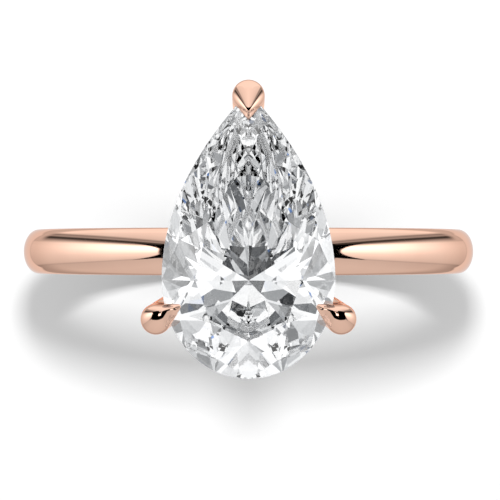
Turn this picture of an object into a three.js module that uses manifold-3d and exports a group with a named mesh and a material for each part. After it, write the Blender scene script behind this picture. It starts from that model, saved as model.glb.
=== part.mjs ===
// A three-prong solitaire engagement ring with a pear-cut stone, in millimetres.
// Z points up through the stone, Y is the axis of the finger hole, and the pear's point is towards +Y.
// The origin is the centre of the finger hole.

import * as THREE from "three";
import { mergeVertices } from "three/addons/utils/BufferGeometryUtils.js";
import Module from "manifold-3d";

const wasm = await Module();
wasm.setup();

// Band: a domed hoop for a US size 7 finger.
const FINGER_RADIUS = 8.67;
const BAND_THICKNESS = 1.6;
const BAND_HALF_WIDTH = 1.0;
const BAND_DOME = 0.68; // rise of the domed outside over the straight sides
const COMFORT_CURVE = 0.12; // how much the hole opens out at its two edges
const BAND_STEPS = 112;
const DOME_STEPS = 10;
const COMFORT_STEPS = 4;
const BAND_RADIUS = FINGER_RADIUS + BAND_THICKNESS;

// Stone: a pear outline of a half ellipse and two parabolic wings that meet in a point.
const STONE_HALF_WIDTH = 3.42;
const STONE_WIDEST_Y = -1.1;
const STONE_TIP_Y = 6.29;
const STONE_ROUND_END_Y = -5.02;
const GIRDLE_Z = 14.6;
const GIRDLE_THICKNESS = 0.22;
const CROWN_HEIGHT = 1.0;
const PAVILION_DEPTH = 3.0;
const CULET_Y = -0.7;
const TABLE_SHARE = 0.6; // size of the table as a share of the outline
const STAR_SHARE = 0.5; // height of the star facets as a share of the crown
const LOWER_HALF_SHARE = 0.76; // height of the lower halves as a share of the pavilion
const MAIN_FACETS = 8;
const EDGE_STEPS = 4; // outline points in the width of one half facet
const QUARTERS = 4; // outlinePoint's turn runs from 0 to 4

// Head: three prongs that lean out from a small base plate and hold two pear-shaped rails.
const FOOT_Z = 10.42;
const FOOT_SHARE = 0.27; // distance of a prong's foot from the head's axis as a share of its seat's
const BOW_Z = 12.3;
const BOW_SHARE = 0.8;
const CLAW_SEAT = new THREE.Vector2(3.58, -2.61);
const CLAW_TIP = new THREE.Vector2(2.6, -2.14);
const CLAW_FOOT_RADIUS = 0.48;
const CLAW_SEAT_RADIUS = 0.65;
const CLAW_TIP_RADIUS = 0.12;
const CLAW_SHOULDER_RISE = 0.38;
const CLAW_TIP_RISE = 0.62;
const TIP_PRONG_SEAT_Y = 6.085;
const TIP_PRONG_RADIUS = 0.635;
const TIP_PRONG_WALL_END_Y = 5.5;
const TIP_PRONG_POINT_Y = 5.19;
const TIP_PRONG_LEAN = 0.5; // how far the cheeks lean in for each millimetre below the girdle
const TIP_PRONG_CAP = [
  { rise: -1.2, inset: 0.3 },
  { rise: -0.7, inset: 0.03 },
  { rise: 0, inset: 0 },
  { rise: 0.36, inset: 0 },
  { rise: 0.54, inset: 0.08 },
  { rise: 0.62, inset: 0.22 },
];
const CAP_ARC_STEPS = 14;
const WIRE_SIDES = 16;
const WIRE_STEPS = 26;

const RAIL_WIDTH = 0.7;
const RAIL_HEIGHT = 0.6;
const RAIL_CORNER = 0.2;
const RAIL_STEPS = 64;
const UPPER_RAIL_AT = 0.57; // place along a prong's bow, from 0 at the foot to 1 at the seat
const LOWER_RAIL_AT = 0.27;
const RAIL_LET_IN = 0.15; // how far a rail's outside stays inside the middle of the prongs

const BASE_BOTTOM_Z = 9.95;
const BASE_TOP_Z = 10.95;
const BASE_FOOT_X = 1.0;
const BASE_FOOT_Y = 1.15;
const BASE_RIM_X = 1.25;
const BASE_RIM_Y = 1.75;
const BASE_RIM_DROP = 0.25;
const BASE_SIDES = 40;
const PEG_RADIUS = 0.6;
const PEG_BOTTOM_Z = 8.72;
const PEG_TOP_Z = 10.6;
const PEG_SIDES = 24;

const GAP = 0.03; // clearance between pieces that are soldered or set against each other
const CUTTER_EXTRA = 2; // how far a cutter runs past the piece that it cuts
const SMALL_TURN = 1e-4;

const ROSE_GOLD = { color: 0xe9b79f, roughness: 0.16, metalness: 1.0 };
const ROSE_GOLD_INSIDE = { color: 0xdba68c, roughness: 0.28, metalness: 1.0 };
const DIAMOND = { color: 0xf4f7fa, roughness: 0.02, metalness: 0.0 };

function mix(from, to, share) {
  return from + (to - from) * share;
}

/** A manifold solid from a closed three.js geometry. */
function toSolid(geometry) {
  const bare = geometry.clone();
  bare.deleteAttribute("normal");
  bare.deleteAttribute("uv");
  const merged = mergeVertices(bare, 1e-5);
  const vertProperties = new Float32Array(merged.attributes.position.array);
  const triVerts = new Uint32Array(merged.index.array);
  return new wasm.Manifold(new wasm.Mesh({ numProp: 3, vertProperties, triVerts }));
}

/** A named mesh with its own material, from a manifold solid. */
function toMesh(name, solid, finish) {
  const result = solid.getMesh();
  const geometry = new THREE.BufferGeometry();
  geometry.setAttribute("position", new THREE.BufferAttribute(result.vertProperties, 3));
  geometry.setIndex(new THREE.BufferAttribute(result.triVerts, 1));
  geometry.computeVertexNormals();
  const mesh = new THREE.Mesh(geometry, new THREE.MeshStandardMaterial(finish));
  mesh.name = name;
  return mesh;
}

/** A geometry from a list of triangles, each of three points. */
function fromTriangles(triangles) {
  const positions = triangles.flat().flatMap((point) => point.toArray());
  const geometry = new THREE.BufferGeometry();
  geometry.setAttribute("position", new THREE.Float32BufferAttribute(positions, 3));
  return mergeVertices(geometry, 1e-5);
}

/** Triangles of the skin between two rings of points that run anticlockwise about the way from one to the other. */
function skin(ring, next) {
  return ring.flatMap((point, i) => {
    const beside = (i + 1) % ring.length;
    return [
      [point, ring[beside], next[beside]],
      [point, next[beside], next[i]],
    ];
  });
}

/** Triangles that close a ring of points, facing the way that the ring runs anticlockwise about. */
function cap(ring) {
  const centre = ring.reduce((sum, point) => sum.add(point), new THREE.Vector3()).divideScalar(ring.length);
  return ring.map((point, i) => [centre, point, ring[(i + 1) % ring.length]]);
}

/** A closed solid through rings of points, with a flat cap at each end. */
function loft(rings) {
  const skins = rings.slice(1).flatMap((ring, i) => skin(rings[i], ring));
  const start = cap([...rings[0]].reverse());
  const end = cap(rings[rings.length - 1]);
  return fromTriangles([...start, ...skins, ...end]);
}

/** A closed hoop through rings of points, the last joined to the first. */
function hoop(rings) {
  return fromTriangles(rings.flatMap((ring, i) => skin(ring, rings[(i + 1) % rings.length])));
}

/** A round wire of changing thickness along a curve. */
function wire(curve, radiusAt) {
  const frames = curve.computeFrenetFrames(WIRE_STEPS, false);
  const rings = frames.tangents.map((_, step) => {
    const share = step / WIRE_STEPS;
    const centre = curve.getPointAt(share);
    const radius = radiusAt(share);
    return Array.from({ length: WIRE_SIDES }, (_, side) => {
      const angle = (2 * Math.PI * side) / WIRE_SIDES;
      return centre
        .clone()
        .addScaledVector(frames.normals[step], radius * Math.cos(angle))
        .addScaledVector(frames.binormals[step], radius * Math.sin(angle));
    });
  });
  return loft(rings);
}

/** The stone's outline: turn 0 is the round end, 1 the widest place on +X, 2 the point, and 3 the widest on -X. */
function outlinePoint(turn) {
  const wrapped = (turn + QUARTERS) % QUARTERS;
  const side = wrapped <= 2 ? 1 : -1;
  const quarter = wrapped <= 2 ? wrapped : QUARTERS - wrapped;
  if (quarter <= 1) {
    const angle = (quarter * Math.PI) / 2;
    const drop = (STONE_WIDEST_Y - STONE_ROUND_END_Y) * Math.cos(angle);
    return new THREE.Vector2(side * STONE_HALF_WIDTH * Math.sin(angle), STONE_WIDEST_Y - drop);
  }
  const along = quarter - 1;
  return new THREE.Vector2(
    side * STONE_HALF_WIDTH * (1 - along * along),
    mix(STONE_WIDEST_Y, STONE_TIP_Y, along),
  );
}

/** The way that the outline runs at turn, as a unit vector. At the point it is the mean of both wings. */
function outlineTangent(turn) {
  return outlinePoint(turn + SMALL_TURN)
    .sub(outlinePoint(turn - SMALL_TURN))
    .normalize();
}

function lift(point, z) {
  return new THREE.Vector3(point.x, point.y, z);
}

/** The point where two facet planes meet at a height. */
function meetAt(a, b, z) {
  const p = -a.constant - a.normal.z * z;
  const q = -b.constant - b.normal.z * z;
  const det = a.normal.x * b.normal.y - b.normal.x * a.normal.y;
  const x = (p * b.normal.y - q * a.normal.y) / det;
  const y = (a.normal.x * q - b.normal.x * p) / det;
  return new THREE.Vector3(x, y, z);
}

function heightOn(plane, point) {
  return -(plane.constant + plane.normal.x * point.x + plane.normal.y * point.y) / plane.normal.z;
}

/**
 * Half of the stone, above or below its girdle: the points where the main facets meet their neighbours,
 * and the girdle's edge, whose height follows the half facets so that each of them is flat.
 */
function facetedHalf(edgeZ, meetZ, innerPoint) {
  const mainTurn = (i) => (QUARTERS * i) / MAIN_FACETS;
  const mains = Array.from({ length: MAIN_FACETS }, (_, i) => {
    const edge = lift(outlinePoint(mainTurn(i)), edgeZ);
    const beside = edge.clone().add(lift(outlineTangent(mainTurn(i)), 0));
    return new THREE.Plane().setFromCoplanarPoints(edge, beside, innerPoint(i));
  });
  const meets = mains.map((plane, i) => meetAt(plane, mains[(i + 1) % MAIN_FACETS], meetZ));
  const edge = meets.flatMap((meet, i) =>
    [0, 1].flatMap((half) => {
      const from = mainTurn(i + half / 2);
      const to = mainTurn(i + (half + 1) / 2);
      const start = lift(outlinePoint(from), edgeZ);
      const plane = new THREE.Plane().setFromCoplanarPoints(start, lift(outlinePoint(to), edgeZ), meet);
      return Array.from({ length: EDGE_STEPS }, (_, step) => {
        const point = outlinePoint(mix(from, to, step / EDGE_STEPS));
        return lift(point, step === 0 ? edgeZ : heightOn(plane, point));
      });
    }),
  );
  return { meets, edge };
}

/** The pear brilliant: a table, stars, mains and half facets over a thin girdle, and a pointed pavilion. */
function stoneGeometry() {
  const crownEdgeZ = GIRDLE_Z + GIRDLE_THICKNESS / 2;
  const pavilionEdgeZ = GIRDLE_Z - GIRDLE_THICKNESS / 2;
  const culet = new THREE.Vector3(0, CULET_Y, pavilionEdgeZ - PAVILION_DEPTH);
  const centre = new THREE.Vector2(0, CULET_Y);
  const table = Array.from({ length: MAIN_FACETS }, (_, i) => {
    const rim = outlinePoint((QUARTERS * i) / MAIN_FACETS);
    return lift(centre.clone().lerp(rim, TABLE_SHARE), crownEdgeZ + CROWN_HEIGHT);
  });
  const crown = facetedHalf(
    crownEdgeZ,
    crownEdgeZ + CROWN_HEIGHT * (1 - STAR_SHARE),
    (i) => table[i],
  );
  const pavilion = facetedHalf(
    pavilionEdgeZ,
    pavilionEdgeZ - PAVILION_DEPTH * LOWER_HALF_SHARE,
    () => culet,
  );
  const halfGap = 2 * EDGE_STEPS;
  const edgeCount = MAIN_FACETS * halfGap;
  const triangles = [];
  for (let i = 0; i < MAIN_FACETS; i += 1) {
    const next = (i + 1) % MAIN_FACETS;
    const before = (i + MAIN_FACETS - 1) % MAIN_FACETS;
    const corner = i * halfGap;
    triangles.push([table[i], crown.meets[i], table[next]]);
    triangles.push([table[i], crown.meets[before], crown.edge[corner]]);
    triangles.push([table[i], crown.edge[corner], crown.meets[i]]);
    triangles.push([culet, pavilion.edge[corner], pavilion.meets[before]]);
    triangles.push([culet, pavilion.meets[i], pavilion.edge[corner]]);
    for (let step = 0; step < halfGap; step += 1) {
      const here = corner + step;
      const beside = (here + 1) % edgeCount;
      triangles.push([crown.meets[i], crown.edge[here], crown.edge[beside]]);
      triangles.push([pavilion.meets[i], pavilion.edge[beside], pavilion.edge[here]]);
    }
  }
  for (let i = 1; i < MAIN_FACETS - 1; i += 1) {
    triangles.push([table[0], table[i], table[i + 1]]);
  }
  triangles.push(...skin(pavilion.edge, crown.edge));
  return fromTriangles(triangles);
}

/** The stone made a little larger about the middle of its girdle, to cut its seats with clearance. */
function stoneCutter(stone) {
  const growth = 1 + GAP / STONE_HALF_WIDTH;
  return toSolid(stone.clone().translate(0, 0, -GIRDLE_Z).scale(growth, growth, growth).translate(0, 0, GIRDLE_Z));
}

/** The bow that every prong follows: its height and its share of the seat's distance from the head's axis. */
function prongBow(seatZ) {
  return new THREE.QuadraticBezierCurve(
    new THREE.Vector2(FOOT_SHARE, FOOT_Z),
    new THREE.Vector2(BOW_SHARE, BOW_Z),
    new THREE.Vector2(1, seatZ),
  );
}

/** Points up a prong's bow, from its foot to its seat. */
function bowPoints(seat) {
  return prongBow(GIRDLE_Z)
    .getPoints(4)
    .map((at) => new THREE.Vector3(seat.x * at.x, seat.y * at.x, at.y));
}

/** A claw prong on the side given by 1 or -1, before its seat is cut; spare thickens it into a cutter. */
function clawWire(side, spare = 0) {
  const seat = new THREE.Vector2(side * CLAW_SEAT.x, CLAW_SEAT.y);
  const tip = new THREE.Vector2(side * CLAW_TIP.x, CLAW_TIP.y);
  const shoulder = seat.clone().lerp(tip, 0.3);
  const curve = new THREE.CatmullRomCurve3([
    ...bowPoints(seat),
    lift(shoulder, GIRDLE_Z + CLAW_SHOULDER_RISE),
    lift(tip, GIRDLE_Z + CLAW_TIP_RISE),
  ]);
  const seatShare = 0.76;
  return toSolid(
    wire(curve, (share) => {
      const upper = Math.max(0, (share - seatShare) / (1 - seatShare));
      const shaft = mix(CLAW_FOOT_RADIUS, CLAW_SEAT_RADIUS, Math.min(1, share / seatShare));
      return spare + mix(shaft, CLAW_TIP_RADIUS, upper ** 2);
    }),
  );
}

/** A level slice of the tip prong's cap: a round back, two straight cheeks and a pointed front. */
function capRing({ rise, inset }) {
  const radius = TIP_PRONG_RADIUS - inset;
  const back = TIP_PRONG_SEAT_Y + Math.min(0, rise) * TIP_PRONG_LEAN;
  const arc = Array.from({ length: CAP_ARC_STEPS + 1 }, (_, step) => {
    const angle = (Math.PI * step) / CAP_ARC_STEPS;
    return new THREE.Vector2(radius * Math.cos(angle), back + radius * Math.sin(angle));
  });
  const front = [
    new THREE.Vector2(-radius, TIP_PRONG_WALL_END_Y + inset),
    new THREE.Vector2(0, TIP_PRONG_POINT_Y + inset),
    new THREE.Vector2(radius, TIP_PRONG_WALL_END_Y + inset),
  ];
  return [...arc, ...front].map((point) => lift(point, GIRDLE_Z + rise));
}

/** The cap of the prong at the pear's point: cheeks that grow out of the shaft, and a rounded top. */
function tipCap() {
  return toSolid(loft(TIP_PRONG_CAP.map(capRing)));
}

/** The prong at the pear's point before its seat is cut; spare thickens its shaft into a cutter. */
function tipWire(spare = 0) {
  const seat = new THREE.Vector2(0, TIP_PRONG_SEAT_Y);
  const curve = new THREE.CatmullRomCurve3(bowPoints(seat));
  return toSolid(wire(curve, (share) => spare + mix(CLAW_FOOT_RADIUS, TIP_PRONG_RADIUS - GAP, share)));
}

/** The size of a pear-shaped rail whose outside is let in to the prongs at a place along their bow. */
function railShare(bow) {
  const clawReach = CLAW_SEAT.length() * bow.x - RAIL_LET_IN;
  return clawReach / (CLAW_SEAT.length() - (CLAW_SEAT_RADIUS * STONE_HALF_WIDTH) / CLAW_SEAT.length());
}

/** A pear-shaped gallery rail with chamfered edges, at a place along the prongs' bow. */
function rail(at) {
  const bow = prongBow(GIRDLE_Z).getPoint(at);
  const share = railShare(bow);
  const half = RAIL_HEIGHT / 2;
  const section = [
    [0, half - RAIL_CORNER],
    [-RAIL_CORNER, half],
    [RAIL_CORNER - RAIL_WIDTH, half],
    [-RAIL_WIDTH, half - RAIL_CORNER],
    [-RAIL_WIDTH, RAIL_CORNER - half],
    [RAIL_CORNER - RAIL_WIDTH, -half],
    [-RAIL_CORNER, -half],
    [0, RAIL_CORNER - half],
  ];
  const rings = Array.from({ length: RAIL_STEPS }, (_, step) => {
    const turn = (QUARTERS * step) / RAIL_STEPS;
    const along = outlineTangent(turn);
    const outward = new THREE.Vector2(along.y, -along.x);
    const wing = outlineTangent(turn - 2 * SMALL_TURN);
    const mitre = 1 / Math.max(0.5, along.dot(wing));
    const outside = outlinePoint(turn).multiplyScalar(share);
    return section
      .map(([out, up]) => lift(outside.clone().addScaledVector(outward, out * mitre), bow.y + up))
      .reverse();
  });
  return toSolid(hoop(rings));
}

/** An oval ring of points about the head's axis. */
function oval(x, y, z) {
  return Array.from({ length: BASE_SIDES }, (_, i) => {
    const angle = (2 * Math.PI * i) / BASE_SIDES;
    return new THREE.Vector3(x * Math.cos(angle), y * Math.sin(angle), z);
  });
}

/** The base plate: a small oval cup whose foot is let in to the top of the band. */
function basePlate(spare = 0) {
  return toSolid(
    loft([
      oval(BASE_FOOT_X + spare, BASE_FOOT_Y + spare, BASE_BOTTOM_Z - spare),
      oval(BASE_FOOT_X + spare, BASE_FOOT_Y + spare, BAND_RADIUS),
      oval(BASE_RIM_X + spare, BASE_RIM_Y + spare, BASE_TOP_Z - BASE_RIM_DROP),
      oval(BASE_RIM_X + spare, BASE_RIM_Y + spare, BASE_TOP_Z + spare),
    ]),
  );
}

/** The peg under the head; spare thickens it and open lengthens it downwards into a cutter. */
function peg(spare = 0, open = 0) {
  const bottom = PEG_BOTTOM_Z - open;
  const top = PEG_TOP_Z + spare;
  const round = new THREE.CylinderGeometry(PEG_RADIUS + spare, PEG_RADIUS + spare, top - bottom, PEG_SIDES);
  return toSolid(round.rotateX(Math.PI / 2).translate(0, 0, (top + bottom) / 2));
}

/** The plain hoop of the band, from a section with a domed outside and a slightly rounded inside. */
function bandHoop() {
  const shoulder = BAND_RADIUS - BAND_DOME;
  const profile = [];
  for (let i = 0; i <= DOME_STEPS; i += 1) {
    const angle = Math.PI * (i / DOME_STEPS);
    const radius = shoulder + BAND_DOME * Math.sin(angle);
    profile.push(new THREE.Vector2(radius, -BAND_HALF_WIDTH * Math.cos(angle)));
  }
  for (let i = 0; i <= COMFORT_STEPS; i += 1) {
    const across = 1 - (2 * i) / COMFORT_STEPS;
    profile.push(new THREE.Vector2(FINGER_RADIUS + COMFORT_CURVE * across ** 2, BAND_HALF_WIDTH * across));
  }
  profile.push(profile[0].clone());
  return toSolid(new THREE.LatheGeometry(profile, BAND_STEPS));
}

const stone = stoneGeometry();
const seatCutter = stoneCutter(stone);
const claws = { left: clawWire(-1), right: clawWire(1) };
const tip = tipWire().add(tipCap());
const prongCutter = clawWire(-1, GAP).add(clawWire(1, GAP)).add(tipWire(GAP));

function centreStone() {
  return toMesh("centre_stone", toSolid(stone), DIAMOND);
}

function clawProng(name, blank) {
  return toMesh(name, blank.subtract(seatCutter), ROSE_GOLD);
}

function tipProng() {
  return toMesh("tip_v_prong", tip.subtract(seatCutter), ROSE_GOLD);
}

function galleryRail(name, at) {
  return toMesh(name, rail(at).subtract(prongCutter), ROSE_GOLD_INSIDE);
}

function headBase() {
  const cut = basePlate().subtract(prongCutter).subtract(peg(GAP, CUTTER_EXTRA));
  return toMesh("head_base", cut, ROSE_GOLD_INSIDE);
}

function headPeg() {
  return toMesh("head_peg", peg(), ROSE_GOLD_INSIDE);
}

function shank() {
  const cut = bandHoop().subtract(basePlate(GAP)).subtract(peg(GAP, CUTTER_EXTRA));
  return toMesh("shank", cut, ROSE_GOLD);
}

const ring = new THREE.Group();
ring.name = "engagement_ring";
ring.add(
  shank(),
  headPeg(),
  headBase(),
  galleryRail("lower_gallery_rail", LOWER_RAIL_AT),
  galleryRail("upper_gallery_rail", UPPER_RAIL_AT),
  clawProng("left_claw_prong", claws.left),
  clawProng("right_claw_prong", claws.right),
  tipProng(),
  centreStone(),
);

export default ring;
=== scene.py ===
import math

import bpy
from mathutils import Matrix, Vector


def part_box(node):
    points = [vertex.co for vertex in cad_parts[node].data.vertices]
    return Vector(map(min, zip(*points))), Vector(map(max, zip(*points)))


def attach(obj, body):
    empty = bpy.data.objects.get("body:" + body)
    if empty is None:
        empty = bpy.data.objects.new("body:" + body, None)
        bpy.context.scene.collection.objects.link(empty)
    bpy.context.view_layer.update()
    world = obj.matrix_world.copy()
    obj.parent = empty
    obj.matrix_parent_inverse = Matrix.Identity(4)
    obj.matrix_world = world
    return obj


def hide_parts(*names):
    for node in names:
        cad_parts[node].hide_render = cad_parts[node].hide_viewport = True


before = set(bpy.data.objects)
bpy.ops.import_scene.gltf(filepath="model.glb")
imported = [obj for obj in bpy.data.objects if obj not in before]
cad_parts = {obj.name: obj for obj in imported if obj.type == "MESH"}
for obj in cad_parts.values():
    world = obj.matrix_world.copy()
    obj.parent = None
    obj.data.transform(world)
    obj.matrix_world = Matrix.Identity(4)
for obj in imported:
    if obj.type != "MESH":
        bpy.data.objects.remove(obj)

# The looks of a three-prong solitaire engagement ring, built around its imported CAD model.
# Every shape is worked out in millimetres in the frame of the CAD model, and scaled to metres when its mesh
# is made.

MM = 0.001
scene = bpy.context.scene
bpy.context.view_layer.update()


def box_mm(node):
    """The lowest and highest corner of a CAD node, in millimetres."""
    low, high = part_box(node)
    return low / MM, high / MM


# ---------------------------------------------------------------- sizes, in millimetres

band_low, band_high = box_mm("shank")
stone_low, stone_high = box_mm("centre_stone")
base_low, base_high = box_mm("head_base")
peg_low, peg_high = box_mm("head_peg")
upper_rail_low, upper_rail_high = box_mm("upper_gallery_rail")
lower_rail_low, lower_rail_high = box_mm("lower_gallery_rail")

BAND_RADIUS = band_high.x
BAND_HALF_WIDTH = band_high.y
BAND_THICKNESS = 1.6
BAND_DOME = 0.68
COMFORT_CURVE = 0.12
FINGER_RADIUS = BAND_RADIUS - BAND_THICKNESS

STONE_HALF_WIDTH = stone_high.x
STONE_TIP_Y = stone_high.y
STONE_ROUND_END_Y = stone_low.y
STONE_WIDEST_Y = -1.1
CROWN_HEIGHT = 1.0
PAVILION_DEPTH = 3.0
GIRDLE_THICKNESS = 0.22
GIRDLE_Z = stone_high.z - CROWN_HEIGHT - GIRDLE_THICKNESS / 2
CULET_Y = -1.15
TABLE_Y = -1.1
TABLE_SHARE = 0.61
TABLE_TIP_SHARE = 0.65
STAR_SHARE = 0.5
LOWER_HALF_SHARE = 0.76
MAIN_FACETS = 8
EDGE_STEPS = 6

FOOT_Z = 10.42
FOOT_SHARE = 0.27
FOOT_RADIUS = 0.48
FOOT_ROUNDING = 0.16
BOW_POWER = 1.75
PRONG_TOP_Z = 15.5
FOOT_STEPS = 6
SHAFT_STEPS = 64
DOME_STEPS = 56
SHAFT_WIDENS = (0.75, 0.92)  # part of the shaft's rise in which it turns from round to its collar
SHAFT_CLOSES = (0.92, 1.0)  # part of the rise in which the collar turns into the teardrop
BEAK_GROWS = (0.45, 0.85)  # part of the way from bulb to tip in which the beak rises out of the dome
BEAK_SOFTNESS = 0.06
SEAT_GROWTH = 1.003  # how much larger the stone's seat is cut than the stone
PRONG_SHARP_ANGLE = 15

CLAW = {
    "bulb": Vector((3.64, -2.665)),
    "bulb_radius": 0.61,
    "tip": Vector((2.745, -2.178)),
    "tip_radius": 0.12,
    "apex": Vector((3.45, -2.37)),
    "height": 0.8,
    "sharpness": 2.2,
    "nose_z": 15.33,
}
TIP_PRONG = {
    "bulb": Vector((0.0, 6.13)),
    "bulb_radius": 0.645,
    "tip": Vector((0.0, 5.32)),
    "tip_radius": 0.12,
    "apex": Vector((0.0, 5.47)),
    "height": 0.95,
    "sharpness": 1.3,
    "nose_z": 15.36,
    "cheek": Vector((0.0, 5.7)),
}

RAIL_WIDTH = 0.7
RAIL_ROUNDING = 2.6  # exponent of the rails' rounded section

CUP_FOOT = (1.0, 1.15)  # half sizes of the cup's foot in X and Y
CUP_RIM = (1.25, 1.75)
CUP_LIP = 0.2  # radius of the rounded rim
CUP_DISH = 0.1  # depth of the hollow on top
CUP_FOOT_CHAMFER = 0.04
CUP_IN_BAND = 0.1  # how far below the band's outside the cup's flare starts
PEG_CHAMFER = 0.08

FLOOR_Z = band_low.z


# ---------------------------------------------------------------- studio settings

# What the stone gathers: stripes of light and shade, each with a direction, whose length sets how narrow its
# stripes are, and a shift along it.
STONE_WAVES = [
    ((0, 3, 1), 1.0),
    ((0, 5, -1), 2.0),
    ((5, 0, 1), 0.0),
    ((3, 2, 3), 5.0),
    ((-3, 2, 3), 4.0),
]
STONE_WAVE_HEIGHT = 0.1
HOOD_EDGE = (55, 57)  # elevation in degrees above which the hood round the camera is seen
HOOD_SHADE = 0.3
CARD_EDGE = (-0.63, -0.6)  # X of a unit direction left of which the dark card is seen
CARD_SHADE = 0.2
STONE_TONES = [
    (0.1, (0.02, 0.021, 0.022, 1)),
    (0.24, (0.05, 0.053, 0.057, 1)),
    (0.26, (0.07, 0.075, 0.08, 1)),
    (0.265, (0.02, 0.2, 0.66, 1)),
    (0.27, (0.1, 0.105, 0.11, 1)),
    (0.34, (0.14, 0.147, 0.155, 1)),
    (0.4, (0.36, 0.37, 0.38, 1)),
    (0.5, (0.74, 0.75, 0.76, 1)),
    (0.6, (0.93, 0.935, 0.94, 1)),
    (0.9, 1.0),
]
STONE_STUDIO = 1.4  # brightness of the studio seen through the stone

DIFFUSE_LIGHT = 0.71  # even light on the floor
LAMP_LIGHT = 2.5  # brightness of the two ceiling lamps in the metal
KEY_SIZE = (0.009, 0.011)  # metres
KEY_POWER = 0.055  # watts
KEY_PLACE = (0, 0.0225, 0.087)  # metres
PAPER_HALF_SIZE = 0.6  # metres
PAPER_WHITE = 0.9

CAMERA_LENS = 161
CAMERA_SHIFT = (0.003, 0.0029)
CAMERA_HEIGHT = 0.1027  # metres
LIGHT_BOUNCES = 40
GLOSSY_BOUNCES = 17  # reflections inside the stone count as glossy ones


# ---------------------------------------------------------------- mesh helpers

def mix(start, end, share):
    return start + (end - start) * share


def smooth(low, high, value):
    """0 below low, 1 above high, and an even rise between them."""
    share = min(1.0, max(0.0, (value - low) / (high - low)))
    return share * share * (3 - 2 * share)


def mesh_object(name, points, faces):
    """An object from points in millimetres."""
    mesh = bpy.data.meshes.new(name)
    mesh.from_pydata([tuple(point) for point in points], [], faces)
    mesh.update()
    made = bpy.data.objects.new(name, mesh)
    scene.collection.objects.link(made)
    return made


def quads(ring_count, side_count, closed):
    """Faces between rings of points; closed joins the last ring to the first."""
    faces = []
    for ring in range(ring_count if closed else ring_count - 1):
        here = ring * side_count
        there = ((ring + 1) % ring_count) * side_count
        for side in range(side_count):
            beside = (side + 1) % side_count
            faces.append((here + side, here + beside, there + beside, there + side))
    return faces


def hoop_object(name, rings):
    points = [point for ring in rings for point in ring]
    return mesh_object(name, points, quads(len(rings), len(rings[0]), True))


def loft_object(name, rings, bottom, top):
    """A closed body through rings, from a bottom pole point to a top pole point."""
    sides = len(rings[0])
    points = [point for ring in rings for point in ring]
    faces = quads(len(rings), sides, False)
    low_pole = len(points)
    high_pole = low_pole + 1
    last = (len(rings) - 1) * sides
    for side in range(sides):
        beside = (side + 1) % sides
        faces.append((beside, side, low_pole))
        faces.append((last + side, last + beside, high_pole))
    return mesh_object(name, points + [bottom, top], faces)


def cut(piece, *cutters):
    """Cuts closed bodies out of a piece, and removes them."""
    for cutter in cutters:
        boolean = piece.modifiers.new("cut", "BOOLEAN")
        boolean.operation = "DIFFERENCE"
        boolean.solver = "MANIFOLD"
        boolean.object = cutter
    graph = bpy.context.evaluated_depsgraph_get()
    result = bpy.data.meshes.new_from_object(piece.evaluated_get(graph))
    piece.modifiers.clear()
    piece.data = result
    for cutter in cutters:
        bpy.data.objects.remove(cutter)


def finish_piece(piece, node, material, sharp_angle=None):
    """Scales a piece to metres, shades it, and hands it over as the stand-in of its CAD node."""
    piece.data.transform(Matrix.Scale(MM, 4))
    if sharp_angle is None:
        piece.data.shade_flat()
    else:
        piece.data.shade_smooth()
        piece.data.set_sharp_from_angle(angle=math.radians(sharp_angle))
    piece.data.materials.clear()
    piece.data.materials.append(material)
    piece.visible_transmission = node == "centre_stone"
    piece.visible_shadow = node in ("shank", "head_base")
    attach(piece, "root")
    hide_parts(node)


# ---------------------------------------------------------------- node helpers

class Graph:
    """Short ways to add shader nodes to a tree."""

    def __init__(self, owner):
        owner.use_nodes = True
        self.tree = owner.node_tree
        self.tree.nodes.clear()

    def node(self, kind, inputs=None, **settings):
        made = self.tree.nodes.new(kind)
        for key, value in settings.items():
            setattr(made, key, value)
        for key, value in (inputs or {}).items():
            if isinstance(value, bpy.types.NodeSocket):
                self.tree.links.new(value, made.inputs[key])
            else:
                made.inputs[key].default_value = value
        return made

    def math(self, operation, *values):
        made = self.node("ShaderNodeMath", dict(enumerate(values)), operation=operation)
        return made.outputs[0]

    def step(self, value, low, high, start=0.0, end=1.0):
        """start below low, end above high, with a smooth rise between them."""
        inputs = {"Value": value, "From Min": low, "From Max": high, "To Min": start, "To Max": end}
        made = self.node("ShaderNodeMapRange", inputs, interpolation_type="SMOOTHSTEP")
        return made.outputs["Result"]

    def blend(self, factor, start, end):
        """start where factor is 0, and end where it is 1."""
        made = self.node("ShaderNodeMix", {"Factor": factor, "A": start, "B": end}, data_type="FLOAT")
        return made.outputs["Result"]

    def blend_colour(self, factor, start, end):
        made = self.node("ShaderNodeMix", {"Factor": factor}, data_type="RGBA")
        for name, value in (("A_Color", start), ("B_Color", end)):
            socket = next(each for each in made.inputs if each.identifier == name)
            self.tree.links.new(value, socket)
        return next(each for each in made.outputs if each.identifier == "Result_Color")

    def ramp(self, factor, stops):
        """Colours, or greys given as one number, at positions from 0 to 1."""
        made = self.node("ShaderNodeValToRGB", {"Fac": factor})
        made.color_ramp.interpolation = "LINEAR"
        elements = made.color_ramp.elements
        while len(elements) < len(stops):
            elements.new(0.5)
        for element, (position, colour) in zip(elements, stops):
            element.position = position
            element.color = colour if isinstance(colour, tuple) else (colour, colour, colour, 1)
        return made.outputs["Color"]

    def noise(self, vector, scale, detail=2.0, roughness=0.5):
        inputs = {"Vector": vector, "Scale": scale, "Detail": detail, "Roughness": roughness}
        return self.node("ShaderNodeTexNoise", inputs).outputs["Fac"]


# ---------------------------------------------------------------- materials

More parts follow.
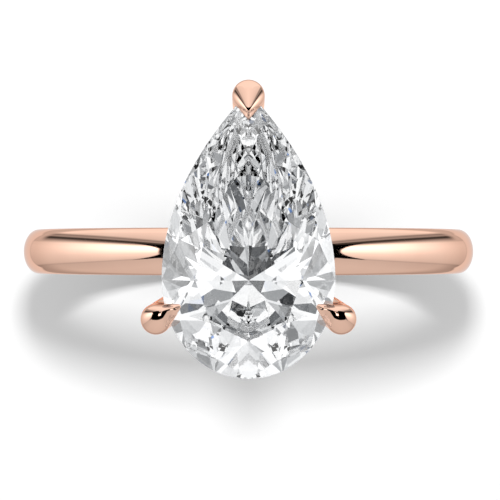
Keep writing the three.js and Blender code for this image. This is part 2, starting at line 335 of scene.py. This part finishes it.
def rose_gold(name, colours, roughness_low, roughness_high, scratch_depth):
    """Polished rose gold: a faint cloudiness in colour, and fine polishing marks in roughness and height."""
    material = bpy.data.materials.new(name)
    graph = Graph(material)
    place = graph.node("ShaderNodeTexCoord").outputs["Object"]
    to_mm = graph.node("ShaderNodeVectorMath", {0: place, "Scale": 1 / MM}, operation="SCALE")
    millimetres = to_mm.outputs[0]
    clouds = graph.noise(millimetres, 0.45, 3.0)
    colour = graph.ramp(clouds, [(0.3, colours[0]), (0.7, colours[1])])
    stretched = graph.node("ShaderNodeMapping", {"Vector": millimetres, "Scale": (1.0, 9.0, 1.0)})
    marks = graph.noise(stretched.outputs["Vector"], 6.0, 5.0, 0.65)
    roughness = graph.step(marks, 0.35, 0.75, roughness_low, roughness_high)
    bump = graph.node(
        "ShaderNodeBump",
        {"Strength": 0.35, "Distance": scratch_depth * MM, "Height": marks},
    ).outputs["Normal"]
    shader = graph.node(
        "ShaderNodeBsdfPrincipled",
        {
            "Base Color": colour,
            "Metallic": 1.0,
            "Roughness": roughness,
            "Specular Tint": (0.97, 0.8, 0.72, 1),
            "Normal": bump,
        },
    )
    graph.node("ShaderNodeOutputMaterial", {"Surface": shader.outputs["BSDF"]})
    return material


def diamond():
    """Clear diamond with a finely ground girdle."""
    material = bpy.data.materials.new("diamond")
    graph = Graph(material)
    place = graph.node("ShaderNodeTexCoord").outputs["Object"]
    height = graph.node("ShaderNodeSeparateXYZ", {"Vector": place}).outputs["Z"]
    off_girdle = graph.math("ABSOLUTE", graph.math("SUBTRACT", height, GIRDLE_Z * MM))
    ground = graph.step(off_girdle, 0.07 * MM, 0.1 * MM, 0.18, 0.0)
    shader = graph.node(
        "ShaderNodeBsdfPrincipled",
        {
            "Base Color": (1.0, 1.0, 1.0, 1.0),
            "Transmission Weight": 1.0,
            "IOR": 2.417,
            "Roughness": ground,
        },
    )
    graph.node("ShaderNodeOutputMaterial", {"Surface": shader.outputs["BSDF"]})
    return material


GOLD_LIGHT = (0.95, 0.63, 0.49, 1)
GOLD_DEEP = (0.92, 0.59, 0.455, 1)
GOLD_INNER_LIGHT = (0.93, 0.58, 0.44, 1)
GOLD_INNER_DEEP = (0.88, 0.53, 0.39, 1)

band_gold = rose_gold("rose_gold_band", (GOLD_DEEP, GOLD_LIGHT), 0.035, 0.07, 0.0006)
prong_gold = rose_gold("rose_gold_prongs", (GOLD_DEEP, GOLD_LIGHT), 0.03, 0.06, 0.0004)
head_gold = rose_gold("rose_gold_head", (GOLD_INNER_DEEP, GOLD_INNER_LIGHT), 0.08, 0.18, 0.0015)
diamond_material = diamond()


# ---------------------------------------------------------------- stone

def outline_point(turn):
    """The stone's outline: turn 0 is the round end, 1 the widest place on +X, 2 the point and 3 the widest
    place on -X."""
    wrapped = turn % 4
    side = 1 if wrapped <= 2 else -1
    quarter = wrapped if wrapped <= 2 else 4 - wrapped
    if quarter <= 1:
        angle = quarter * math.pi / 2
        drop = (STONE_WIDEST_Y - STONE_ROUND_END_Y) * math.cos(angle)
        return Vector((side * STONE_HALF_WIDTH * math.sin(angle), STONE_WIDEST_Y - drop))
    along = quarter - 1
    return Vector((side * STONE_HALF_WIDTH * (1 - along * along), mix(STONE_WIDEST_Y, STONE_TIP_Y, along)))


def outline_tangent(turn):
    small = 1e-4
    return (outline_point(turn + small) - outline_point(turn - small)).normalized()


def lift(point, z):
    return Vector((point.x, point.y, z))


def plane_through(a, b, c):
    normal = (b - a).cross(c - a).normalized()
    return normal, -normal.dot(a)


def meet_at(first, second, z):
    """The point where two facet planes meet at a height."""
    (n, d), (m, e) = first, second
    p = -d - n.z * z
    q = -e - m.z * z
    det = n.x * m.y - m.x * n.y
    return Vector(((p * m.y - q * n.y) / det, (n.x * q - m.x * p) / det, z))


def height_on(plane, point):
    normal, constant = plane
    return -(constant + normal.x * point.x + normal.y * point.y) / normal.z


def faceted_half(edge_z, meet_z, inner_points, offset):
    """The points where the main facets meet their neighbours, and the girdle's edge on the half facets."""
    count = MAIN_FACETS
    mains = []
    for i in range(count):
        turn = 4 * (i + offset) / count
        edge = lift(outline_point(turn), edge_z)
        beside = edge + lift(outline_tangent(turn), 0)
        mains.append(plane_through(edge, beside, inner_points[i]))
    meets = [meet_at(mains[i], mains[(i + 1) % count], meet_z) for i in range(count)]
    edge = []
    for i in range(count):
        for half in (0, 1):
            start_turn = 4 * (i + offset + half / 2) / count
            end_turn = 4 * (i + offset + (half + 1) / 2) / count
            start = lift(outline_point(start_turn), edge_z)
            plane = plane_through(start, lift(outline_point(end_turn), edge_z), meets[i])
            for step in range(EDGE_STEPS):
                point = outline_point(mix(start_turn, end_turn, step / EDGE_STEPS))
                edge.append(lift(point, edge_z if step == 0 else height_on(plane, point)))
    return meets, edge


def stone_object(name, growth=1.0):
    """The pear brilliant: a table, stars, mains and half facets over a thin girdle, and a pointed pavilion
    whose main facets lie between the crown's, so that a sharp keel runs to the stone's point."""
    count = MAIN_FACETS
    crown_z = GIRDLE_Z + GIRDLE_THICKNESS / 2
    pavilion_z = GIRDLE_Z - GIRDLE_THICKNESS / 2
    culet = Vector((0, CULET_Y, pavilion_z - PAVILION_DEPTH))
    centre = Vector((0, TABLE_Y))
    table = []
    for i in range(count):
        share = TABLE_TIP_SHARE if 2 * i == count else TABLE_SHARE
        table.append(lift(centre.lerp(outline_point(4 * i / count), share), crown_z + CROWN_HEIGHT))
    crown_meets, crown_edge = faceted_half(crown_z, crown_z + CROWN_HEIGHT * (1 - STAR_SHARE), table, 0)
    pavilion_meets, pavilion_edge = faceted_half(
        pavilion_z, pavilion_z - PAVILION_DEPTH * LOWER_HALF_SHARE, [culet] * count, 0.5
    )
    pavilion_edge = pavilion_edge[-EDGE_STEPS:] + pavilion_edge[:-EDGE_STEPS]
    points = table + crown_meets + pavilion_meets + crown_edge + pavilion_edge + [culet]
    middle = Vector((0, 0, GIRDLE_Z))
    points = [middle + (point - middle) * growth for point in points]
    crown_meet, pavilion_meet = count, 2 * count
    crown_rim = 3 * count
    edge_count = len(crown_edge)
    pavilion_rim = crown_rim + edge_count
    culet_index = pavilion_rim + edge_count
    gap = 2 * EDGE_STEPS
    faces = [tuple(range(count))]
    for i in range(count):
        after = (i + 1) % count
        before = (i - 1) % count
        corner = i * gap
        low_corner = corner + EDGE_STEPS
        faces.append((i, crown_meet + i, after))
        faces.append((i, crown_meet + before, crown_rim + corner, crown_meet + i))
        faces.append((culet_index, pavilion_meet + i, pavilion_rim + low_corner, pavilion_meet + before))
        for half in (0, 1):
            start = corner + half * EDGE_STEPS
            run = [(start + step) % edge_count for step in range(EDGE_STEPS + 1)]
            faces.append(tuple([crown_meet + i] + [crown_rim + k for k in run]))
            start += EDGE_STEPS
            run = [(start + step) % edge_count for step in range(EDGE_STEPS + 1)]
            faces.append(tuple([pavilion_meet + i] + [pavilion_rim + k for k in reversed(run)]))
    for k in range(edge_count):
        after = (k + 1) % edge_count
        faces.append((pavilion_rim + k, pavilion_rim + after, crown_rim + after, crown_rim + k))
    return mesh_object(name, points, faces)


# ---------------------------------------------------------------- prongs

def shaft_share(rise):
    """How far out a prong's middle is, as a share of its bulb's distance from the head's axis."""
    return 1 - (1 - FOOT_SHARE) * (1 - rise) ** BOW_POWER


def teardrop(form, side_count):
    """Points round the plan of a prong's top: a bulb and a narrow tip joined by straight sides."""
    bulb, tip = form["bulb"], form["tip"]
    along = (tip - bulb).normalized()
    across = Vector((-along.y, along.x))
    reach = (tip - bulb).length
    spread = math.acos((form["bulb_radius"] - form["tip_radius"]) / reach)
    bulb_sides = round(side_count * 0.56)
    tip_sides = round(side_count * 0.16)
    line_sides = (side_count - bulb_sides - tip_sides) // 2

    def on(centre, radius, angle):
        return centre + along * (radius * math.cos(angle)) + across * (radius * math.sin(angle))

    points = []
    for i in range(bulb_sides):
        angle = mix(spread, 2 * math.pi - spread, i / bulb_sides)
        points.append(on(bulb, form["bulb_radius"], angle))
    for i in range(line_sides):
        start = on(bulb, form["bulb_radius"], -spread)
        end = on(tip, form["tip_radius"], -spread)
        points.append(start.lerp(end, i / line_sides))
    for i in range(tip_sides):
        angle = mix(-spread, spread, i / tip_sides)
        points.append(on(tip, form["tip_radius"], angle))
    for i in range(line_sides):
        start = on(tip, form["tip_radius"], spread)
        end = on(bulb, form["bulb_radius"], spread)
        points.append(start.lerp(end, i / line_sides))
    return points


def nose_height(form, point):
    """Height of the beak's rounded back over a point in plan, or None outside it."""
    bulb, tip = form["bulb"], form["tip"]
    along = (tip - bulb).normalized()
    reach = (tip - bulb).length
    offset = point - bulb
    s = offset.dot(along)
    u = abs(offset.dot(Vector((-along.y, along.x))))
    slope = (form["bulb_radius"] - form["tip_radius"]) / reach
    run = math.sqrt(1 - slope * slope)
    if s * run - u * slope < 0:
        return None
    if s * run - u * slope > run * reach:
        inside = form["tip_radius"] - math.hypot(u, s - reach)
        width = form["tip_radius"]
    else:
        inside = form["bulb_radius"] - (u * run + s * slope)
        width = form["bulb_radius"] - (s - (u * slope)) * slope
    if inside < -0.01:
        return None
    width = max(width, 1e-4)
    off = min(1.0, max(0.0, 1 - inside / width))
    return form["nose_z"] - width + width * math.sqrt(max(0.0, 1 - off * off))


def soft_max(a, b, softness):
    share = max(softness - abs(a - b), 0) / softness
    return max(a, b) + share * share * softness / 4


def build_prong(name, form, side_count=144):
    """A prong: a rounded foot, a shaft that bows out from the base, and a domed top with a beak that lies
    over the stone. The slices of the dome shrink towards its apex."""
    outline = teardrop(form, side_count)
    bulb, apex = form["bulb"], form["apex"]
    waist_z = PRONG_TOP_Z - form["height"]
    around = [(point - bulb).normalized() for point in outline]
    collar = outline
    if "cheek" in form:
        blunt = {**form, "tip": form["cheek"], "tip_radius": form["bulb_radius"] - 0.02}
        collar = teardrop(blunt, side_count)
    beak = (form["tip"] - bulb).normalized()
    reach = (form["tip"] - bulb).length
    rings = []
    for step in range(FOOT_STEPS):
        angle = math.pi / 2 * (1 - step / FOOT_STEPS)
        radius = FOOT_RADIUS * (1 - 0.35 * (1 - math.cos(angle)))
        z = FOOT_Z - FOOT_ROUNDING * math.sin(angle)
        rings.append([lift(bulb * FOOT_SHARE + way * radius, z) for way in around])
    for step in range(SHAFT_STEPS):
        rise = step / SHAFT_STEPS
        radius = mix(FOOT_RADIUS, form["bulb_radius"], smooth(0, 1, rise))
        middle = bulb * shaft_share(rise)
        widened = smooth(*SHAFT_WIDENS, rise)
        closing = smooth(*SHAFT_CLOSES, rise)
        ring = []
        for way, rim, point in zip(around, collar, outline):
            at = (middle + way * radius).lerp(rim, widened).lerp(point, closing)
            ring.append(lift(at, mix(FOOT_Z, waist_z, rise)))
        rings.append(ring)
    for step in range(DOME_STEPS):
        share = math.cos(math.pi / 2 * step / DOME_STEPS)
        ring = []
        for point in outline:
            at = apex + (point - apex) * share
            height = waist_z + form["height"] * math.sqrt(max(0.0, 1 - share ** form["sharpness"]))
            nose = nose_height(form, at)
            if nose is not None:
                grown = smooth(BEAK_GROWS[0] * reach, BEAK_GROWS[1] * reach, (at - bulb).dot(beak))
                height = mix(height, soft_max(height, nose, BEAK_SOFTNESS), grown)
            ring.append(lift(at, height))
        rings.append(ring)
    bottom = lift(bulb * FOOT_SHARE, FOOT_Z - FOOT_ROUNDING)
    return loft_object(name, rings, bottom, lift(apex, PRONG_TOP_Z))


def mirrored(form):
    flipped = dict(form)
    for key in ("bulb", "tip", "apex"):
        flipped[key] = Vector((-form[key].x, form[key].y))
    return flipped


def make_prongs():
    forms = {
        "right_claw": ("right_claw_prong", CLAW),
        "left_claw": ("left_claw_prong", mirrored(CLAW)),
        "tip_prong": ("tip_v_prong", TIP_PRONG),
    }
    for name, (node, form) in forms.items():
        prong = build_prong(name, form)
        cut(prong, stone_object("seat_cutter", SEAT_GROWTH))
        finish_piece(prong, node, prong_gold, PRONG_SHARP_ANGLE)


# ---------------------------------------------------------------- band, base, peg and rails

def make_band():
    """The plain hoop: a domed outside, softened edges and a slightly rounded inside."""
    dome_steps, inner_steps, around_steps = 40, 20, 360
    shoulder = BAND_RADIUS - BAND_DOME
    profile = []
    for i in range(dome_steps + 1):
        angle = math.pi * i / dome_steps
        profile.append((shoulder + BAND_DOME * math.sin(angle), -BAND_HALF_WIDTH * math.cos(angle)))
    for i in range(inner_steps + 1):
        across = 1 - 2 * i / inner_steps
        edge = COMFORT_CURVE * abs(across) ** 3 + 0.1 * max(0.0, abs(across) - 0.9) / 0.1
        profile.append((FINGER_RADIUS + edge, BAND_HALF_WIDTH * across * 0.985))
    rings = []
    for step in range(around_steps):
        turn = 2 * math.pi * step / around_steps
        rings.append([Vector((r * math.sin(turn), y, r * math.cos(turn))) for r, y in profile])
    band = hoop_object("band", rings)
    finish_piece(band, "shank", band_gold, 40)


def oval_ring(x, y, z, steps=72):
    turns = [2 * math.pi * i / steps for i in range(steps)]
    return [Vector((x * math.cos(turn), y * math.sin(turn), z)) for turn in turns]


def make_base():
    """The small oval cup that the prongs stand on."""
    foot_z, rim_z = base_low.z, base_high.z
    rim_x, rim_y = CUP_RIM
    foot_x, foot_y = CUP_FOOT
    rings = [
        oval_ring(foot_x * 0.9, foot_y * 0.9, foot_z),
        oval_ring(foot_x, foot_y, foot_z + CUP_FOOT_CHAMFER),
    ]
    for step in range(17):
        share = step / 16
        flare = share ** 1.6
        z = mix(BAND_RADIUS - CUP_IN_BAND, rim_z - CUP_LIP, share)
        rings.append(oval_ring(mix(foot_x, rim_x, flare), mix(foot_y, rim_y, flare), z))
    for step in range(1, 9):
        angle = math.pi / 2 * step / 8
        inset = CUP_LIP * (1 - math.cos(angle))
        z = rim_z - CUP_LIP + CUP_LIP * math.sin(angle)
        rings.append(oval_ring(rim_x - inset, rim_y - inset, z))
    for share in (0.75, 0.5, 0.25):
        dish = CUP_DISH * (1 - share * share)
        rings.append(oval_ring((rim_x - CUP_LIP) * share, (rim_y - CUP_LIP) * share, rim_z - dish))
    base = loft_object("head_cup", rings, Vector((0, 0, foot_z)), Vector((0, 0, rim_z - CUP_DISH)))
    finish_piece(base, "head_base", head_gold, 40)


def make_peg():
    """The peg under the head, with a chamfered end."""
    radius = peg_high.x
    bottom, top = peg_low.z, peg_high.z
    slices = (
        (0.86, bottom),
        (1.0, bottom + PEG_CHAMFER),
        (1.0, mix(bottom, top, 0.5)),
        (1.0, top - PEG_CHAMFER),
        (0.86, top),
    )
    rings = [oval_ring(radius * share, radius * share, z, 48) for share, z in slices]
    peg = loft_object("head_pin", rings, Vector((0, 0, bottom)), Vector((0, 0, top)))
    finish_piece(peg, "head_peg", head_gold, 40)


def make_rail(name, node, low, high):
    """A pear-shaped gallery rail with a rounded section, as large as its CAD node."""
    share = (high.y - low.y) / (STONE_TIP_Y - STONE_ROUND_END_Y)
    middle_z = (low.z + high.z) / 2
    half_height = (high.z - low.z) / 2
    sections, steps = 28, 240
    rings = []
    for step in range(steps):
        turn = 4 * step / steps
        along = outline_tangent(turn)
        outward = Vector((along.y, -along.x))
        mitre = 1 / max(0.5, along.dot(outline_tangent(turn - 2e-4)))
        outside = outline_point(turn) * share
        ring = []
        for i in range(sections):
            angle = -2 * math.pi * i / sections
            cosine, sine = math.cos(angle), math.sin(angle)
            power = 2 / RAIL_ROUNDING
            out = math.copysign(abs(cosine) ** power, cosine) * RAIL_WIDTH / 2 - RAIL_WIDTH / 2
            up = math.copysign(abs(sine) ** power, sine) * half_height
            ring.append(lift(outside + outward * (out * mitre), middle_z + up))
        rings.append(ring)
    rail = hoop_object(name, rings)
    finish_piece(rail, node, head_gold, 50)


# ---------------------------------------------------------------- studio

def make_world():
    """A soft white studio for the metal: two bright side walls, darker gaps beside them, and a dark ceiling
    with two lamps. The stone has a striped studio of its own."""
    world = bpy.data.worlds.new("studio")
    scene.world = world
    world.cycles.sampling_method = "NONE"
    graph = Graph(world)
    way = graph.node("ShaderNodeTexCoord").outputs["Generated"]
    parts = graph.node("ShaderNodeSeparateXYZ", {"Vector": way})
    x, y, z = parts.outputs["X"], parts.outputs["Y"], parts.outputs["Z"]
    side = graph.math("ABSOLUTE", x)
    bearing = graph.math("MULTIPLY", graph.math("ARCTAN2", y, side), 180 / math.pi)
    position = graph.math("ADD", graph.math("DIVIDE", bearing, 180), 0.5)
    elevation = graph.math("MULTIPLY", graph.math("ARCSINE", z), 180 / math.pi)

    def walls(stops):
        return graph.ramp(position, [((degrees + 90) / 180, value) for degrees, value in stops])

    # across the walls, from the front panel over the soft box and the dark gaps to the back panel
    high = walls([
        (-90, 0.76), (-50, 0.74), (-28, 0.67), (-26, 0.56), (-23, 0.85), (-8, 1.2), (0, 1.65), (8, 2.1),
        (17, 2.1), (21, 1.2), (24, 0.4), (27, 0.06), (31, 0.04), (34, 0.4), (36, 0.4), (38, 0.25),
        (41, 0.5), (44, 0.78), (58, 0.95), (90, 1.1),
    ])
    low = walls([
        (-90, 0.72), (-50, 0.7), (-28, 0.6), (-26, 0.52), (-23, 0.7), (-8, 0.82), (0, 0.9), (10, 0.97),
        (17, 0.93), (22, 0.5), (25, 0.3), (28, 0.06), (31, 0.06), (34, 0.4), (36, 0.4), (38, 0.25),
        (41, 0.5), (44, 0.95), (58, 1.05), (90, 1.1),
    ])
    wall = graph.blend(graph.step(elevation, -42, 38), low, high)
    foot = graph.step(elevation, -54, -30, 0.0, 1.0)
    fade = graph.math("MULTIPLY", graph.step(bearing, 17, 22), graph.step(elevation, -50, -40, 1.0, 0.0))
    wall = graph.blend(fade, wall, 0.75)
    front = graph.step(bearing, -27, -25, 1.0, 0.0)
    side_shade = graph.blend(foot, 0.85, 1.0)
    front_shade = graph.blend(foot, 0.65, 1.0)
    wall = graph.math("MULTIPLY", wall, graph.blend(front, side_shade, front_shade))
    back_edge = graph.math("MINIMUM", graph.math("MULTIPLY_ADD", bearing, 1.75, -114.0), 12.0)
    above_edge = graph.math("SUBTRACT", elevation, back_edge)
    back = graph.math("MULTIPLY", graph.step(above_edge, -4, 4, 1.0, 0.0), graph.step(bearing, 42, 46))
    back = graph.math("MULTIPLY", back, graph.step(elevation, -46, -38))
    wall = graph.blend(back, wall, 1.12)

    # the table under the ring, with a fine dark line where the walls stand on it
    depth = graph.math("MAXIMUM", graph.math("MULTIPLY", z, -1), 1e-4)
    floor_x = graph.math("DIVIDE", side, depth)
    floor_y = graph.math("DIVIDE", graph.math("ABSOLUTE", y), depth)
    past_x = graph.math("SUBTRACT", floor_x, 0.65)
    past_y = graph.math("SUBTRACT", floor_y, 0.43)
    from_edge = graph.math("MAXIMUM", past_x, past_y)
    table = graph.step(elevation, -76, -57, 0.8, 0.86)
    wall = graph.blend(graph.step(from_edge, -0.03, 0.02, 1.0, 0.0), wall, table)
    corner = graph.step(graph.math("ABSOLUTE", from_edge), 0.01, 0.05, 0.88, 1.0)
    wall = graph.math("MULTIPLY", wall, corner)

    # the arched top of the soft box, the black ceiling and its two lamps
    height = graph.math("MAXIMUM", z, 1e-4)
    arch_top = graph.step(x, -0.1, 0.1, 1.06, 0.95)
    span = graph.math("MAXIMUM", side, 1e-4)
    run_y = graph.math("DIVIDE", graph.math("ABSOLUTE", y), span)
    run_z = graph.math("DIVIDE", height, span)
    arch_y = graph.math("POWER", graph.math("DIVIDE", run_y, 0.57), 2)
    arch_z = graph.math("POWER", graph.math("DIVIDE", run_z, arch_top), 2)
    outside = graph.step(graph.math("ADD", arch_y, arch_z), 0.97, 1.05)
    beside = graph.step(graph.math("ABSOLUTE", bearing), 26, 28, 1.0, 0.0)
    above = graph.step(elevation, 22, 26)
    wall = graph.blend(graph.math("MULTIPLY", graph.math("MULTIPLY", outside, beside), above), wall, 0.0)
    ceiling_x = graph.math("DIVIDE", side, height)
    ceiling_y = graph.math("DIVIDE", y, height)
    inside_x = graph.step(ceiling_x, 0.98, 1.03, 1.0, 0.0)
    inside_y = graph.step(graph.math("ABSOLUTE", ceiling_y), 0.6, 0.65, 1.0, 0.0)
    ceiling = graph.math("MULTIPLY", inside_x, inside_y)
    wall = graph.blend(ceiling, wall, 0.0)
    lamp_y = graph.math("ABSOLUTE", graph.math("SUBTRACT", graph.math("ABSOLUTE", ceiling_y), 0.17))
    lamp = graph.math(
        "MULTIPLY", graph.step(lamp_y, 0.06, 0.08, 1.0, 0.0), graph.step(ceiling_x, 0.1, 0.13, 1.0, 0.0)
    )
    metal_view = graph.blend(lamp, wall, LAMP_LIGHT)

    # what the stone gathers: stripes with thin blue edges, a hood round the camera and a card on the left
    total = 0.5
    for direction, shift in STONE_WAVES:
        along = graph.node("ShaderNodeVectorMath", {0: way, 1: direction}, operation="DOT_PRODUCT")
        wave = graph.math("SINE", graph.math("ADD", along.outputs["Value"], shift))
        total = graph.math("MULTIPLY_ADD", wave, STONE_WAVE_HEIGHT, total)
    hood = graph.step(elevation, *HOOD_EDGE)
    total = graph.math("MULTIPLY_ADD", hood, -HOOD_SHADE, total)
    card = graph.step(x, *CARD_EDGE, 1.0, 0.0)
    total = graph.math("MULTIPLY_ADD", card, -CARD_SHADE, total)
    tones = graph.ramp(total, STONE_TONES)
    brightness = (STONE_STUDIO, STONE_STUDIO, STONE_STUDIO)
    brightened = graph.node("ShaderNodeVectorMath", {0: tones, 1: brightness}, operation="MULTIPLY")
    stone_view = brightened.outputs[0]

    rays = graph.node("ShaderNodeLightPath").outputs
    others = graph.blend(rays["Is Diffuse Ray"], metal_view, DIFFUSE_LIGHT)
    others = graph.blend(rays["Is Camera Ray"], others, graph.step(elevation, 0, 35, 0.66, 1.0))
    seen = graph.blend_colour(rays["Is Transmission Ray"], others, stone_view)
    background = graph.node("ShaderNodeBackground", {"Color": seen, "Strength": 1.0})
    graph.node("ShaderNodeOutputWorld", {"Surface": background.outputs["Background"]})


def make_floor():
    """A pale sweep of paper, seen by the camera and left out of the reflections."""
    half = PAPER_HALF_SIZE
    mesh = bpy.data.meshes.new("floor")
    z = FLOOR_Z * MM
    corners = [(-half, -half, z), (half, -half, z), (half, half, z), (-half, half, z)]
    mesh.from_pydata(corners, [], [(0, 1, 2, 3)])
    floor = bpy.data.objects.new("floor", mesh)
    scene.collection.objects.link(floor)
    material = bpy.data.materials.new("paper")
    graph = Graph(material)
    shader = graph.node("ShaderNodeBsdfDiffuse", {"Color": (PAPER_WHITE, PAPER_WHITE, PAPER_WHITE, 1)})
    graph.node("ShaderNodeOutputMaterial", {"Surface": shader.outputs["BSDF"]})
    mesh.materials.append(material)
    floor.visible_glossy = False
    floor.visible_transmission = False


def make_key_light():
    """The soft lamp that throws the hoop's shadow."""
    data = bpy.data.lights.new("key", "AREA")
    data.shape = "RECTANGLE"
    data.size, data.size_y = KEY_SIZE
    data.energy = KEY_POWER
    lamp = bpy.data.objects.new("key", data)
    lamp.location = KEY_PLACE
    lamp.rotation_mode = "QUATERNION"
    aim = Vector((0, 0, FLOOR_Z * MM)) - Vector(lamp.location)
    lamp.rotation_quaternion = aim.to_track_quat("-Z", "Y")
    lamp.visible_glossy = False
    lamp.visible_transmission = False
    scene.collection.objects.link(lamp)


def make_camera():
    """Straight above the ring, with the round end of the stone towards the bottom of the picture."""
    data = bpy.data.cameras.new("camera")
    data.lens = CAMERA_LENS
    data.sensor_width = 36
    data.shift_x, data.shift_y = CAMERA_SHIFT
    data.clip_start = 0.001
    data.clip_end = 10
    camera = bpy.data.objects.new("camera", data)
    camera.location = (0, 0, CAMERA_HEIGHT)
    scene.collection.objects.link(camera)
    scene.camera = camera


make_camera()
make_world()
make_floor()
make_key_light()
scene.view_settings.view_transform = "Standard"
scene.cycles.max_bounces = LIGHT_BOUNCES
scene.cycles.transmission_bounces = LIGHT_BOUNCES
scene.cycles.glossy_bounces = GLOSSY_BOUNCES
scene.cycles.caustics_reflective = False
scene.cycles.caustics_refractive = False

make_band()
make_base()
make_peg()
make_rail("upper_rail", "upper_gallery_rail", upper_rail_low, upper_rail_high)
make_rail("lower_rail", "lower_gallery_rail", lower_rail_low, lower_rail_high)
make_prongs()
stone = stone_object("pear_diamond")
finish_piece(stone, "centre_stone", diamond_material)
